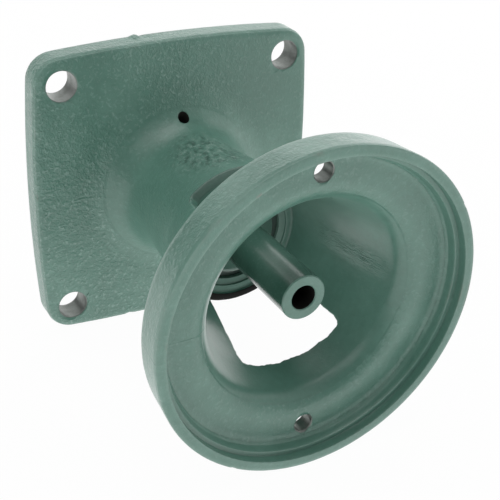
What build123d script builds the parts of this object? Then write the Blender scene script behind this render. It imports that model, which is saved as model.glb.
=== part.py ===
from build123d import *
import math
import os

# A cast bearing bracket for a small pump. The shaft runs along Y. The square flange is at the pump end,
# with its machined back face at Y = 0, and the ring flange for the motor faces -Y.

# Square pump flange
flange_thickness = 10.0
flange_bow = 2.5
flange_corner_radius = 10.0
flange_edge_radius = 1.8
flange_bolt_spacing = 88.9
flange_margin = 9.15
flange_bolt_hole_radius = 5.55

# Neck that holds the bearings
neck_length = 47.7
housing_wall = 5.7
neck_taper = 3.2
neck_taper_length = 28.0
neck_blend_radius = 40.0
flange_fillet_radius = 15.0
flange_fillet_foot = 4.0
boss_edge_radius = 2.4

# Bell with its two windows
bell_length = 58.3
bell_wall = 5.2
bell_knee_depth = 24.0
bell_knee_radius = 31.2
boss_lip = 5.1
bell_blend_radius = 30.0
window_front_depth = 22.3
window_boss_margin = 1.0
window_half_angle = 38.5
window_turn = 8.0
window_corner_radius = 3.0

# Ring flange for the motor
ring_radius = 57.15
ring_depth = 13.4
ring_draft = 1.1
ring_edge_radius = 0.7
rim_width = 3.65
ledge_depth = 3.4
ledge_width = 1.5
seat_depth = 7.7
seat_wall_draft = 1.1
lip_radius = 36.8
lip_rounding = 3.2
ring_fillet_radius = 5.0
ring_bolt_inset = 10.85
ring_bolt_hole_radius = 3.3

# Housing bore
fit_gap = 0.02
face_step_width = 2.5
face_step_depth = 0.8
housing_ring_setback = 2.35
housing_ring_thickness = 1.5
housing_groove_depth = 1.0
housing_ring_width = 2.6
groove_side_gap = 0.05
rear_floor_depth = 18.0
rear_shoulder = 2.5

# Shaft
shaft_radius = 7.9375
shaft_end_setback = 13.2
shaft_rear_length = 30.0
shaft_chamfer = 0.6
shaft_bore_radius = 4.25
shaft_bore_depth = 22.0
shaft_bore_chamfer = 0.35
shaft_groove_depth = 0.45
shaft_ring_thickness = 1.0
shaft_ring_width = 2.6
seat_relief_width = 0.8
seat_relief_depth = 0.3
seat_relief_setback = 0.3
snap_ring_gap_angle = 26.0
lug_radius = 2.1
lug_hole_radius = 0.9

# Ball bearings, 5/8 in bore and 35 mm outside
bearing_outer_radius = 17.5
bearing_width = 11.0
bearing_edge_radius = 0.6
race_share = 0.31
ball_share = 0.312
cage_share = 0.25
ball_count = 8
ball_running_gap = 0.2
cage_pocket_gap = 0.15
cage_front_reach = 1.6
cage_rear_reach = 4.1
shield_thickness = 0.5
shield_inset = 0.3
shield_running_gap = 0.35

# Slingers, spring washer and seal
slinger_margin = 3.2
slinger_thickness = 1.3
slinger_face_proud = 0.3
slinger_hub_wall = 1.66
spring_washer_thickness = 0.6
spring_washer_rise = 0.5
spring_washer_width = 2.3
seal_setback = 1.0
seal_width = 6.0
seal_case_wall = 1.0
seal_lip_gap = 0.06
seal_spring_radius = 0.6
water_slinger_gap = 2.2
water_slinger_thickness = 2.2
water_slinger_hub_length = 4.0
water_slinger_setback = 1.6

# Drain hole from the seal space to the outside
drain_radius = 2.15
drain_tilt = 20.0
drain_overrun = 6.0

# Places along the axis, worked out from the sizes above
flange_front = -flange_thickness
boss_face = flange_front - neck_length
ring_front = boss_face - bell_length
housing_ring_front = boss_face + housing_ring_setback
front_bearing_front = housing_ring_front + housing_ring_thickness
rear_floor = -rear_floor_depth
rear_bearing_front = rear_floor - spring_washer_thickness - spring_washer_rise - bearing_width
slinger_front = boss_face - slinger_face_proud
seal_front = -seal_setback - seal_width

# Sizes across the axis that follow from others
neck_radius = bearing_outer_radius + housing_wall
neck_front_radius = neck_radius + neck_taper
bell_root_radius = bearing_outer_radius + boss_lip
face_step_radius = bearing_outer_radius + face_step_width
seal_bore_radius = bearing_outer_radius - rear_shoulder
register_radius = ring_radius - rim_width
ring_bolt_spacing = 2 * (ring_radius - ring_bolt_inset)
flange_corner_half = flange_bolt_spacing / 2 + flange_margin
bearing_bore = shaft_radius + fit_gap
bearing_section = bearing_outer_radius - shaft_radius
inner_race_radius = shaft_radius + race_share * bearing_section
outer_race_bore = bearing_outer_radius - race_share * bearing_section
ball_circle = (inner_race_radius + outer_race_bore) / 2
ball_radius = ball_share * bearing_section
cage_wall = cage_share * bearing_section
slinger_radius = bearing_outer_radius - slinger_margin
slinger_hub_radius = shaft_radius + slinger_hub_wall
water_slinger_radius = seal_bore_radius - water_slinger_gap

os.makedirs("parts", exist_ok=True)


def corner(sketch, radius, height):
    return sketch.vertices().sort_by_distance((radius, height, 0))[0]


def axial_plane(angle):
    """The plane through the shaft axis whose x direction points at an angle from +X towards +Z."""
    turn = math.radians(angle)
    return Plane(
        origin=(0, 0, 0),
        x_dir=(math.cos(turn), 0, math.sin(turn)),
        z_dir=(-math.sin(turn), 0, math.cos(turn)),
    )


def cross_plane(y):
    """The plane across the shaft axis at a place along it, with +Z up."""
    return Plane.XZ.offset(-y)


# Window cutter, one wedge above the shaft and one below, both turned a little the same way
window_inner_radius = face_step_radius
window_front = ring_front + window_front_depth
window_back = boss_face - window_boss_margin
with BuildPart() as windows:
    for side in (90, 270):
        start_angle = side + window_turn + window_half_angle
        with BuildSketch(axial_plane(start_angle)):
            with Locations(((window_inner_radius + ring_radius) / 2, (window_front + window_back) / 2)):
                Rectangle(ring_radius - window_inner_radius, window_back - window_front)
        revolve(axis=Axis.Y, revolution_arc=2 * window_half_angle)
    fillet(
        windows.edges().filter_by(GeomType.LINE).filter_by(lambda edge: abs(edge.tangent_at(0.5).Y) < 0.1),
        window_corner_radius,
    )

# The casting: ring, bell, neck and square flange in one piece
ring_rear = ring_front + ring_depth
bell_slope = (bell_knee_radius - bell_root_radius) / (bell_length - bell_knee_depth)
bell_outer_start = bell_knee_radius + bell_slope * (bell_knee_depth - ring_depth) + bell_wall
foot_radius = neck_radius + flange_fillet_radius + flange_fillet_foot
ledge_inner_radius = register_radius - ledge_width
seat_outer_radius = ledge_inner_radius - seat_wall_draft

with BuildPart() as bracket_casting:
    with BuildSketch(Plane.XY) as outside:
        with BuildLine():
            Polyline(
                (0, ring_front),
                (ring_radius, ring_front),
                (ring_radius - ring_draft, ring_rear),
                (bell_outer_start, ring_rear),
                (neck_front_radius, boss_face),
                (neck_radius, boss_face + neck_taper_length),
                (neck_radius, flange_front),
                (foot_radius, flange_front),
                (foot_radius, 0),
                (0, 0),
                close=True,
            )
        make_face()
        fillet(corner(outside, ring_radius, ring_front), ring_edge_radius)
        fillet(corner(outside, ring_radius - ring_draft, ring_rear), ring_edge_radius * 2)
        fillet(corner(outside, bell_outer_start, ring_rear), ring_fillet_radius)
        fillet(corner(outside, neck_front_radius, boss_face), neck_blend_radius)
        fillet(corner(outside, neck_radius, boss_face + neck_taper_length), neck_blend_radius)
        fillet(corner(outside, neck_radius, flange_front), flange_fillet_radius)
    revolve(axis=Axis.Y)

    # The square flange has slightly bowed sides and round corners
    flange_side = (
        Vector(-flange_corner_half, flange_corner_half),
        Vector(0, flange_corner_half + flange_bow),
        Vector(flange_corner_half, flange_corner_half),
    )
    with BuildSketch(Plane.XZ) as flange_outline:
        with BuildLine():
            for quarter in range(4):
                ThreePointArc(*[point.rotate(Axis.Z, -90 * quarter) for point in flange_side])
        make_face()
        fillet(flange_outline.vertices(), flange_corner_radius)
    extrude(amount=flange_thickness)
    fillet(
        bracket_casting.edges()
        .filter_by(lambda edge: abs(edge.center().Y - flange_front) < 0.01)
        .filter_by(lambda edge: math.hypot(edge.center().X, edge.center().Z) > foot_radius),
        flange_edge_radius,
    )

    # The register, the motor seat, the lip and the inside of the bell
    with BuildSketch(Plane.XY) as inside:
        with BuildLine():
            Polyline(
                (0, ring_front),
                (register_radius, ring_front),
                (register_radius, ring_front + ledge_depth),
                (ledge_inner_radius, ring_front + ledge_depth),
                (seat_outer_radius, ring_front + seat_depth),
                (lip_radius, ring_front + seat_depth),
                (bell_knee_radius, ring_front + bell_knee_depth),
                (bell_root_radius, boss_face),
                (0, boss_face),
                close=True,
            )
        make_face()
        fillet(corner(inside, lip_radius, ring_front + seat_depth), lip_rounding)
        fillet(corner(inside, bell_knee_radius, ring_front + bell_knee_depth), bell_blend_radius)
        fillet(corner(inside, bell_root_radius, boss_face), boss_edge_radius / 2)
    revolve(axis=Axis.Y, mode=Mode.SUBTRACT)
    add(windows.part, mode=Mode.SUBTRACT)
    fillet(
        bracket_casting.edges()
        .filter_by(GeomType.CIRCLE)
        .filter_by(lambda edge: abs(edge.center().Y - window_back) < 0.01)
        .filter_by(lambda edge: edge.radius > (neck_radius + neck_front_radius) / 2),
        boss_edge_radius,
    )

    # The bearing bore with its face step and ring groove, and the seal bore behind it
    groove_radius = bearing_outer_radius + housing_groove_depth
    groove_front = housing_ring_front - groove_side_gap
    with BuildSketch(Plane.XY):
        with BuildLine():
            Polyline(
                (0, boss_face),
                (face_step_radius, boss_face),
                (face_step_radius, boss_face + face_step_depth),
                (bearing_outer_radius, boss_face + face_step_depth),
                (bearing_outer_radius, groove_front),
                (groove_radius, groove_front),
                (groove_radius, front_bearing_front),
                (bearing_outer_radius, front_bearing_front),
                (bearing_outer_radius, rear_floor),
                (seal_bore_radius, rear_floor),
                (seal_bore_radius, 0),
                (0, 0),
                close=True,
            )
        make_face()
    revolve(axis=Axis.Y, mode=Mode.SUBTRACT)

    # Four bolt holes through the square flange and two through the motor seat
    with BuildSketch(Plane.XZ):
        with GridLocations(flange_bolt_spacing, flange_bolt_spacing, 2, 2):
            Circle(flange_bolt_hole_radius)
    extrude(amount=flange_thickness, mode=Mode.SUBTRACT)
    with BuildSketch(cross_plane(ring_rear)):
        with GridLocations(1, ring_bolt_spacing, 1, 2):
            Circle(ring_bolt_hole_radius)
    extrude(amount=ring_depth, mode=Mode.SUBTRACT)

    # The drain hole leaves the seal space and comes out halfway round the flange fillet
    fillet_reach = flange_fillet_radius * (1 - math.sqrt(0.5))
    drain_mouth = Vector(0, flange_front - fillet_reach, neck_radius + fillet_reach)
    drain_direction = Vector(0, math.sin(math.radians(drain_tilt)), -math.cos(math.radians(drain_tilt)))
    drain_length = (drain_mouth.Z - seal_bore_radius) / math.cos(math.radians(drain_tilt)) + drain_radius
    with BuildSketch(Plane(origin=drain_mouth - drain_direction * drain_overrun, z_dir=drain_direction)):
        Circle(drain_radius)
    extrude(amount=drain_overrun + drain_length, mode=Mode.SUBTRACT)

# The shaft with a bored front end, a groove for each of its snap rings, and a narrow relief groove
# where each free end begins
shaft_front = ring_front + shaft_end_setback
front_shaft_ring_front = front_bearing_front - shaft_ring_thickness
rear_bearing_back = rear_bearing_front + bearing_width
with BuildPart() as shaft:
    with BuildSketch(cross_plane(shaft_rear_length)):
        Circle(shaft_radius)
    extrude(amount=shaft_rear_length - shaft_front)
    chamfer(shaft.edges().group_by(Axis.Y)[0] + shaft.edges().group_by(Axis.Y)[-1], shaft_chamfer)
    with BuildSketch(cross_plane(shaft_front + shaft_bore_depth)):
        Circle(shaft_bore_radius)
    extrude(amount=shaft_bore_depth, mode=Mode.SUBTRACT)
    chamfer(shaft.edges().group_by(Axis.Y)[0].sort_by(SortBy.LENGTH)[0], shaft_bore_chamfer)
    snap_groove_width = shaft_ring_thickness + groove_side_gap
    shaft_grooves = (
        (front_shaft_ring_front - groove_side_gap, snap_groove_width, shaft_groove_depth),
        (rear_bearing_back, snap_groove_width, shaft_groove_depth),
        (slinger_front - seat_relief_setback - seat_relief_width, seat_relief_width, seat_relief_depth),
        (seat_relief_setback, seat_relief_width, seat_relief_depth),
    )
    for groove_start, groove_width, groove_depth in shaft_grooves:
        with BuildSketch(cross_plane(groove_start + groove_width)):
            Circle(shaft_radius + shaft_ring_width)
            Circle(shaft_radius - groove_depth, mode=Mode.SUBTRACT)
        extrude(amount=groove_width, mode=Mode.SUBTRACT)

# Two sealed ball bearings, each made of two races, balls, a cage and two shields
bearing_parts = []
for place, bearing_front in (("front", front_bearing_front), ("rear", rear_bearing_front)):
    middle = bearing_front + bearing_width / 2
    groove_section_radius = ball_radius + ball_running_gap

    with BuildPart() as outer_race:
        with BuildSketch(Plane.XY) as section:
            with Locations(((outer_race_bore + bearing_outer_radius - fit_gap) / 2, middle)):
                Rectangle(bearing_outer_radius - fit_gap - outer_race_bore, bearing_width)
            fillet(section.vertices().group_by(Axis.X)[-1], bearing_edge_radius)
            with Locations((ball_circle, middle)):
                Circle(groove_section_radius, mode=Mode.SUBTRACT)
        revolve(axis=Axis.Y)
    bearing_parts.append((place + "_bearing_outer_race", outer_race))

    with BuildPart() as inner_race:
        with BuildSketch(Plane.XY) as section:
            with Locations(((bearing_bore + inner_race_radius) / 2, middle)):
                Rectangle(inner_race_radius - bearing_bore, bearing_width)
            fillet(section.vertices().group_by(Axis.X)[0], bearing_edge_radius / 2)
            with Locations((ball_circle, middle)):
                Circle(groove_section_radius, mode=Mode.SUBTRACT)
        revolve(axis=Axis.Y)
    bearing_parts.append((place + "_bearing_inner_race", inner_race))

    with BuildPart(cross_plane(middle)) as balls:
        with PolarLocations(ball_circle, ball_count):
            Sphere(ball_radius)
    bearing_parts.append((place + "_bearing_balls", balls))

    with BuildPart(cross_plane(middle)) as cage:
        with BuildSketch(cross_plane(middle + cage_rear_reach)):
            Circle(ball_circle + cage_wall / 2)
            Circle(ball_circle - cage_wall / 2, mode=Mode.SUBTRACT)
        extrude(amount=cage_front_reach + cage_rear_reach)
        with PolarLocations(ball_circle, ball_count):
            Sphere(ball_radius + cage_pocket_gap, mode=Mode.SUBTRACT)
    bearing_parts.append((place + "_bearing_cage", cage))

    shield_places = (
        ("front_shield", bearing_front + shield_inset),
        ("rear_shield", bearing_front + bearing_width - shield_inset - shield_thickness),
    )
    for shield_name, shield_front in shield_places:
        with BuildPart() as shield:
            with BuildSketch(cross_plane(shield_front + shield_thickness)):
                Circle(outer_race_bore - fit_gap)
                Circle(inner_race_radius + shield_running_gap, mode=Mode.SUBTRACT)
            extrude(amount=shield_thickness)
        bearing_parts.append((place + "_bearing_" + shield_name, shield))

# The sleeve that keeps the inner races apart
front_bearing_back = front_bearing_front + bearing_width
with BuildPart() as spacer_sleeve:
    with BuildSketch(cross_plane(rear_bearing_front)):
        Circle(inner_race_radius - bearing_edge_radius)
        Circle(bearing_bore, mode=Mode.SUBTRACT)
    extrude(amount=rear_bearing_front - front_bearing_back)

# The snap ring that holds the front bearing in the housing, with a lug at each end
with BuildPart() as housing_snap_ring:
    ring_inner_radius = bearing_outer_radius - housing_ring_width
    ring_outer_radius = groove_radius - groove_side_gap
    gap_half = math.radians(snap_ring_gap_angle / 2)
    lug_circle = ring_inner_radius + lug_radius / 2
    with BuildSketch(cross_plane(front_bearing_front)):
        Circle(ring_outer_radius)
        Circle(ring_inner_radius, mode=Mode.SUBTRACT)
        with BuildLine():
            Polyline(
                (0, 0),
                (ring_outer_radius * math.tan(gap_half), ring_outer_radius * 1.1),
                (-ring_outer_radius * math.tan(gap_half), ring_outer_radius * 1.1),
                close=True,
            )
        make_face(mode=Mode.SUBTRACT)
        lug_turn = gap_half + math.asin(lug_radius / lug_circle)
        lug_places = [
            (side * lug_circle * math.sin(lug_turn), lug_circle * math.cos(lug_turn)) for side in (-1, 1)
        ]
        with Locations(*lug_places):
            Circle(lug_radius)
            Circle(lug_hole_radius, mode=Mode.SUBTRACT)
    extrude(amount=housing_ring_thickness)

# Two plain snap rings in the shaft's grooves, outside the inner races
shaft_rings = []
for place, ring_back in (
    ("front", front_bearing_front),
    ("rear", rear_bearing_back + shaft_ring_thickness),
):
    shaft_ring_outer = shaft_radius + shaft_ring_width
    with BuildPart() as shaft_ring:
        with BuildSketch(cross_plane(ring_back)):
            Circle(shaft_ring_outer)
            Circle(shaft_radius - shaft_groove_depth + groove_side_gap, mode=Mode.SUBTRACT)
            with BuildLine():
                Polyline(
                    (0, 0),
                    (shaft_ring_outer * math.tan(gap_half), shaft_ring_outer * 1.1),
                    (-shaft_ring_outer * math.tan(gap_half), shaft_ring_outer * 1.1),
                    close=True,
                )
            make_face(mode=Mode.SUBTRACT)
        extrude(amount=shaft_ring_thickness)
    shaft_rings.append((place + "_shaft_snap_ring", shaft_ring))

# The front slinger, a disc on a hub that turns in front of the housing face
with BuildPart() as front_slinger:
    with BuildSketch(Plane.XY):
        with BuildLine():
            Polyline(
                (bearing_bore, slinger_front),
                (slinger_radius, slinger_front),
                (slinger_radius, slinger_front + slinger_thickness),
                (slinger_hub_radius, slinger_front + slinger_thickness),
                (slinger_hub_radius, front_shaft_ring_front - groove_side_gap),
                (bearing_bore, front_shaft_ring_front - groove_side_gap),
                close=True,
            )
        make_face()
    revolve(axis=Axis.Y)
    fillet(
        front_slinger.edges()
        .filter_by(GeomType.CIRCLE)
        .filter_by(lambda edge: abs(edge.radius - slinger_radius) < 0.01),
        slinger_thickness / 3,
    )

# The conical spring washer that loads the rear bearing
with BuildPart() as spring_washer:
    washer_outer = bearing_outer_radius - groove_side_gap
    washer_inner = washer_outer - spring_washer_width
    with BuildSketch(Plane.XY):
        with BuildLine():
            Polyline(
                (washer_inner, rear_bearing_back),
                (washer_outer, rear_bearing_back + spring_washer_rise),
                (washer_outer, rear_floor),
                (washer_inner, rear_floor - spring_washer_rise),
                close=True,
            )
        make_face()
    revolve(axis=Axis.Y)

# The rubber slinger that throws water into the drain
water_slinger_front = rear_floor + water_slinger_setback
water_slinger_back = water_slinger_front + water_slinger_hub_length
with BuildPart() as water_slinger:
    with BuildSketch(Plane.XY):
        with BuildLine():
            Polyline(
                (bearing_bore, water_slinger_front),
                (slinger_hub_radius, water_slinger_front),
                (slinger_hub_radius, water_slinger_back - water_slinger_thickness),
                (water_slinger_radius, water_slinger_back - water_slinger_thickness / 2),
                (water_slinger_radius, water_slinger_back),
                (bearing_bore, water_slinger_back),
                close=True,
            )
        make_face()
    revolve(axis=Axis.Y)

# The shaft seal: a pressed steel case, a rubber lip and the spring that closes it
seal_back = -seal_setback
seal_outer = seal_bore_radius - fit_gap
seal_case_inner = seal_outer - seal_case_wall
seal_middle_radius = (shaft_radius + seal_case_inner) / 2
with BuildPart() as seal_case:
    with BuildSketch(Plane.XY):
        with BuildLine():
            Polyline(
                (seal_outer, seal_front),
                (seal_outer, seal_back),
                (seal_middle_radius, seal_back),
                (seal_middle_radius, seal_back - seal_case_wall),
                (seal_case_inner, seal_back - seal_case_wall),
                (seal_case_inner, seal_front),
                close=True,
            )
        make_face()
    revolve(axis=Axis.Y)

seal_lip_radius = shaft_radius + seal_lip_gap
spring_place = (seal_lip_radius + 3 * seal_spring_radius, seal_front + 2 * seal_spring_radius)
with BuildPart() as seal_lip:
    with BuildSketch(Plane.XY):
        with BuildLine():
            Polyline(
                (seal_case_inner, seal_back - seal_case_wall),
                (seal_lip_radius + seal_spring_radius, seal_back - seal_case_wall),
                (seal_lip_radius, seal_front + 2 * seal_spring_radius),
                (seal_lip_radius + seal_spring_radius, seal_front),
                (seal_lip_radius + 4 * seal_spring_radius, seal_front),
                (seal_lip_radius + 3 * seal_spring_radius, seal_back - 2 * seal_case_wall),
                (seal_case_inner, seal_back - 2 * seal_case_wall),
                close=True,
            )
        make_face()
        with Locations(spring_place):
            Circle(seal_spring_radius, mode=Mode.SUBTRACT)
    revolve(axis=Axis.Y)

with BuildPart() as seal_spring:
    with BuildSketch(Plane.XY):
        with Locations(spring_place):
            Circle(seal_spring_radius - fit_gap)
    revolve(axis=Axis.Y)

finished = [
    ("bracket_casting", bracket_casting),
    ("shaft", shaft),
    ("spacer_sleeve", spacer_sleeve),
    ("housing_snap_ring", housing_snap_ring),
    ("front_slinger", front_slinger),
    ("spring_washer", spring_washer),
    ("water_slinger", water_slinger),
    ("shaft_seal_case", seal_case),
    ("shaft_seal_lip", seal_lip),
    ("shaft_seal_spring", seal_spring),
]
for name, piece in finished + bearing_parts + shaft_rings:
    piece.part.label = name
    export_step(piece.part, "parts/" + name + ".step")
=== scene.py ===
import bpy
import bmesh
import math
from mathutils import Matrix, Vector, noise
from mathutils.geometry import intersect_point_line


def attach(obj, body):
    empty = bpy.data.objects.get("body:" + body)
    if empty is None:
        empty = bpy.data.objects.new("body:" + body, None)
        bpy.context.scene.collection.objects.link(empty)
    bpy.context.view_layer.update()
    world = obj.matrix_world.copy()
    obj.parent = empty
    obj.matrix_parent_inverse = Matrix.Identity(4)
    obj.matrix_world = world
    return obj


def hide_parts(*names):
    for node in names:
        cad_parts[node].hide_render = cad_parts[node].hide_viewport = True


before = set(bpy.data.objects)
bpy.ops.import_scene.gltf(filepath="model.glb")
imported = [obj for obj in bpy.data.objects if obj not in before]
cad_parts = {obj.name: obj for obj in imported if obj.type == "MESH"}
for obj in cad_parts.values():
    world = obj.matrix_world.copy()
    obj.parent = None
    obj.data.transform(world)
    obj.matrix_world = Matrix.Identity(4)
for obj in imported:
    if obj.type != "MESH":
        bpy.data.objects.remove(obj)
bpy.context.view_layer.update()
mm = 0.001
scene = bpy.context.scene
print("frame loaded:", len(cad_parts), "nodes")

# camera: azimuth, lift and roll in degrees, places in mm
cameraView = {"azimuth": -30.07, "elevation": 29.598, "roll": 2.662, "distance": 284.79,
              "aim": (-28.164, -116.0, 30.703), "focalPixels": 1020.6, "imagePixels": 500,
              "sensor": 36, "shift": (0.0005, 0.0014), "nearest": 10.0}


def addCamera(view):
    turn, lift, roll = [math.radians(view[key]) for key in ("azimuth", "elevation", "roll")]
    back = Vector((math.sin(turn) * math.cos(lift), -math.cos(turn) * math.cos(lift), math.sin(lift)))
    right = Vector((0, 0, 1)).cross(back).normalized()
    up = back.cross(right)
    right, up = (right * math.cos(roll) + up * math.sin(roll),
                 up * math.cos(roll) - right * math.sin(roll))
    data = bpy.data.cameras.new("camera")
    data.sensor_width = view["sensor"]
    data.lens = view["sensor"] * view["focalPixels"] / view["imagePixels"]
    data.shift_x, data.shift_y = view["shift"]
    data.clip_start = view["nearest"] * mm
    camera = bpy.data.objects.new("camera", data)
    scene.collection.objects.link(camera)
    place = (Vector(view["aim"]) + back * view["distance"]) * mm
    camera.matrix_world = Matrix.Translation(place) @ Matrix((right, up, back)).transposed().to_4x4()
    scene.camera = camera


addCamera(cameraView)


# shader helpers: an input gets a link where its value is a socket, and a plain value otherwise
def fillInputs(tree, node, inputs):
    for key, value in inputs.items():
        if isinstance(value, bpy.types.NodeSocket):
            tree.links.new(value, node.inputs[key])
        else:
            node.inputs[key].default_value = value
    return node


def addNode(tree, kind, inputs=None, **settings):
    node = tree.nodes.new("ShaderNode" + kind)
    for key, value in settings.items():
        setattr(node, key, value)
    return fillInputs(tree, node, inputs or {})


def mathNode(tree, operation, first, second=0.0, clamp=False):
    return addNode(tree, "Math", {0: first, 1: second}, operation=operation, use_clamp=clamp).outputs[0]


def rangeNode(tree, value, low, high, outLow=0.0, outHigh=1.0):
    return addNode(tree, "MapRange", {"Value": value, "From Min": low, "From Max": high,
                                      "To Min": outLow, "To Max": outHigh}).outputs["Result"]


def mixColour(tree, amount, first, second):
    return addNode(tree, "Mix", {0: amount, 6: first, 7: second}, data_type="RGBA").outputs[2]


def noiseNode(tree, place, scale, detail=2.0, distortion=0.0):
    return addNode(tree, "TexNoise", {"Vector": place, "Scale": scale, "Detail": detail,
                                      "Distortion": distortion}).outputs["Fac"]


def objectPlace(tree):
    return addNode(tree, "TexCoord").outputs["Object"]


def attributeValue(tree, name):
    return addNode(tree, "Attribute", attribute_name=name).outputs["Fac"]


def startGroup(name, inputs, outputs):
    tree = bpy.data.node_groups.new(name, "ShaderNodeTree")
    for label, kind, value in inputs:
        socket = tree.interface.new_socket(name=label, in_out="INPUT", socket_type="NodeSocket" + kind)
        socket.default_value = value
    for label, kind in outputs:
        tree.interface.new_socket(name=label, in_out="OUTPUT", socket_type="NodeSocket" + kind)
    return tree, tree.nodes.new("NodeGroupInput").outputs, tree.nodes.new("NodeGroupOutput")


def placeGroup(tree, group, inputs):
    return addNode(tree, "Group", inputs, node_tree=group).outputs


# the grain that sand leaves on a casting, under its paint: noise scale, detail, distortion and share
sandLook = {
    "lumps": (820.0, 2.0, 0.6, 0.62), "grains": (1700.0, 1.0, 0.2, 0.2), "swell": (230.0, 1.0, 0.0, 0.5),
    # lumps above these levels become light flecks in the paint: painted glints
    "glintsFrom": 0.56, "glintsFull": 0.7,
}


def makeSandGrain(look):
    tree, given, out = startGroup("sandGrain", [("Amount", "Float", 1.0), ("Scale", "Float", 1.0)],
                                  [("Height", "Float"), ("Glints", "Float")])
    scaled = addNode(tree, "VectorMath", {0: objectPlace(tree), "Scale": given["Scale"]},
                     operation="SCALE").outputs[0]
    layers = {name: noiseNode(tree, scaled, *look[name][:3]) for name in ("lumps", "grains", "swell")}
    lumps, grains, swell = [mathNode(tree, "MULTIPLY", layers[name], look[name][3]) for name in layers]
    height = mathNode(tree, "ADD", mathNode(tree, "ADD", lumps, grains), swell)
    specks = rangeNode(tree, layers["lumps"], look["glintsFrom"], look["glintsFull"])
    fillInputs(tree, out, {"Height": mathNode(tree, "MULTIPLY", height, given["Amount"]), "Glints": specks})
    return tree


# paint: slow changes of tone, lighter along edges as a painted highlight, darker in corners as painted shade,
# a few rubbed brown marks
paintLook = {
    "slowScale": 38.0, "quickScale": 420.0, "patchScale": 75.0, "patchFrom": 0.6, "patchFull": 0.68,
    "light": (0.45, 0.55, 0.5, 1), "lightShare": 0.16, "dark": (0.03, 0.06, 0.045, 1), "darkShare": 0.22,
    # lighter on outside edges: a painted highlight; darker in inside corners: painted shade
    "mottle": (0.04, 0.085, 0.065, 1), "mottleShare": 0.12, "edge": (0.3, 0.42, 0.37, 1), "edgeShare": 0.42,
    "paintedShade": (0.025, 0.055, 0.042, 1), "paintedShadeShare": 0.6, "rubbed": (0.2, 0.15, 0.13, 1), "rubbedDull": 0.3,
    "slowGloss": (-0.01, 0.05), "quickGloss": (-0.01, 0.02),
}


def makePaintTone(look):
    inputs = [("Paint", "Color", (0.1, 0.2, 0.15, 1)), ("Edge", "Float", 0.0), ("PaintedShade", "Float", 0.0),
              ("Rubbed", "Float", 0.3), ("Polish", "Float", 0.25)]
    tree, given, out = startGroup("paintTone", inputs, [("Color", "Color"), ("Roughness", "Float")])
    place = objectPlace(tree)
    paint = given["Paint"]
    slow = noiseNode(tree, place, look["slowScale"], 3.0)
    quick = noiseNode(tree, place, look["quickScale"])
    light = mixColour(tree, look["lightShare"], paint, look["light"])
    dark = mixColour(tree, look["darkShare"], paint, look["dark"])
    tone = mixColour(tree, rangeNode(tree, slow, 0.3, 0.7), dark, paint)
    tone = mixColour(tree, rangeNode(tree, slow, 0.5, 0.75, 0.0, 0.5), tone, light)
    mottle = rangeNode(tree, quick, 0.35, 0.65, look["mottleShare"], 0.0)
    tone = mixColour(tree, mottle, tone, look["mottle"])
    # outside edges lightened as a painted highlight, inside corners darkened as painted shade
    for socket, name in (("Edge", "edge"), ("PaintedShade", "paintedShade")):
        share = mathNode(tree, "MULTIPLY", given[socket], look[name + "Share"], True)
        tone = mixColour(tree, share, tone, look[name])
    patches = noiseNode(tree, place, look["patchScale"], 4.0, 0.4)
    patches = rangeNode(tree, patches, look["patchFrom"], look["patchFull"])
    rub = mathNode(tree, "MULTIPLY", patches, given["Edge"], True)
    rub = mathNode(tree, "MULTIPLY", rub, given["Rubbed"], True)
    gloss = mathNode(tree, "ADD", rangeNode(tree, slow, 0.3, 0.7, *look["slowGloss"]),
                     rangeNode(tree, quick, 0.3, 0.7, *look["quickGloss"]))
    gloss = mathNode(tree, "ADD", gloss, given["Polish"])
    gloss = mathNode(tree, "ADD", gloss, mathNode(tree, "MULTIPLY", rub, look["rubbedDull"]))
    fillInputs(tree, out, {"Color": mixColour(tree, rub, tone, look["rubbed"]), "Roughness": gloss})
    return tree


# fine lines that a cutting tool leaves round the shaft axis: rings on faces, bands on cylinders
def makeToolLines():
    tree, given, out = startGroup("toolLines", [("Lines", "Float", 900.0)], [("Height", "Float")])
    place = objectPlace(tree)
    inputs = {"Vector": place, "Scale": given["Lines"], "Distortion": 0.6, "Detail": 1.0}
    onFaces = addNode(tree, "TexWave", inputs, wave_type="RINGS", rings_direction="Y").outputs["Fac"]
    onSides = addNode(tree, "TexWave", inputs, wave_type="BANDS", bands_direction="Y").outputs["Fac"]
    both = [mathNode(tree, "MULTIPLY", height, 0.5) for height in (onFaces, onSides)]
    fillInputs(tree, out, {"Height": mathNode(tree, "ADD", *both)})
    return tree


# bare metal: oil film, small stains, duller where the film lies
metalLook = {"filmScale": 150.0, "speckScale": 900.0, "speckShare": 0.35, "filmDull": 0.1}


def makeMetalTone(look):
    tree, given, out = startGroup("metalTone", [("Metal", "Color", (0.5, 0.5, 0.5, 1)),
                                                ("Stain", "Color", (0.12, 0.09, 0.06, 1)),
                                                ("Stained", "Float", 0.3), ("Polish", "Float", 0.3)],
                                  [("Color", "Color"), ("Roughness", "Float")])
    place = objectPlace(tree)
    film = noiseNode(tree, place, look["filmScale"], 4.0, 0.3)
    specks = noiseNode(tree, place, look["speckScale"])
    stained = mathNode(tree, "MULTIPLY", rangeNode(tree, film, 0.48, 0.72), given["Stained"])
    tone = mixColour(tree, stained, given["Metal"], given["Stain"])
    tone = mixColour(tree, rangeNode(tree, specks, 0.55, 0.75, 0.0, look["speckShare"]), tone, given["Stain"])
    dull = rangeNode(tree, film, 0.35, 0.7, 0.0, look["filmDull"])
    fillInputs(tree, out, {"Color": tone, "Roughness": mathNode(tree, "ADD", given["Polish"], dull)})
    return tree


sandGrain = makeSandGrain(sandLook)
paintTone = makePaintTone(paintLook)
toolLines = makeToolLines()
metalTone = makeMetalTone(metalLook)
finishes = {}


def newMaterial(name):
    material = bpy.data.materials.new(name)
    material.use_nodes = True
    finishes[name] = material
    return material.node_tree, material.node_tree.nodes["Principled BSDF"]


def bumpNormal(tree, height, distance):
    bump = addNode(tree, "Bump", {"Height": height, "Strength": 1.0, "Distance": distance * mm})
    return bump.outputs["Normal"]


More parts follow.
